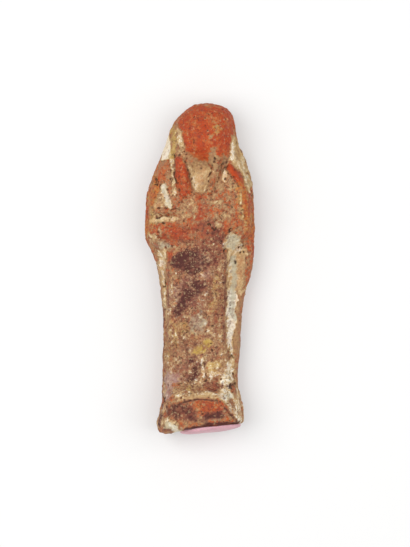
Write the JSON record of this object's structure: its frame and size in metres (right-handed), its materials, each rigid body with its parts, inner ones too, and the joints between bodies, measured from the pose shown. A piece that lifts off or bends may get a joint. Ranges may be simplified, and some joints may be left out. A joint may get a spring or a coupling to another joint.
{
  "type": "ushabti figurine",
  "caption": "Small worn clay ushabti, a wrapped figure with crossed arms and a stepped foot, lying on its back, with a soft pad stuck on its sole.",
  "frame": {"origin": "on the flat of the figure's back, half way along it", "axes": "+Z out of the figure's front, +Y towards the crown of its head, +X to the right of someone looking down on its front"},
  "size_m": [0.037, 0.1105, 0.0219],
  "materials": {
    "fired_clay": "low-fired red clay, worn, with rests of a pale slip and dark stains; satin to matt",
    "pink_pad": "smooth pink wax or felt, matt"
  },
  "bodies": {
    "root": {"ushabti_body": "fired_clay", "base_pad": "pink_pad"}
  },
  "joints": []
}
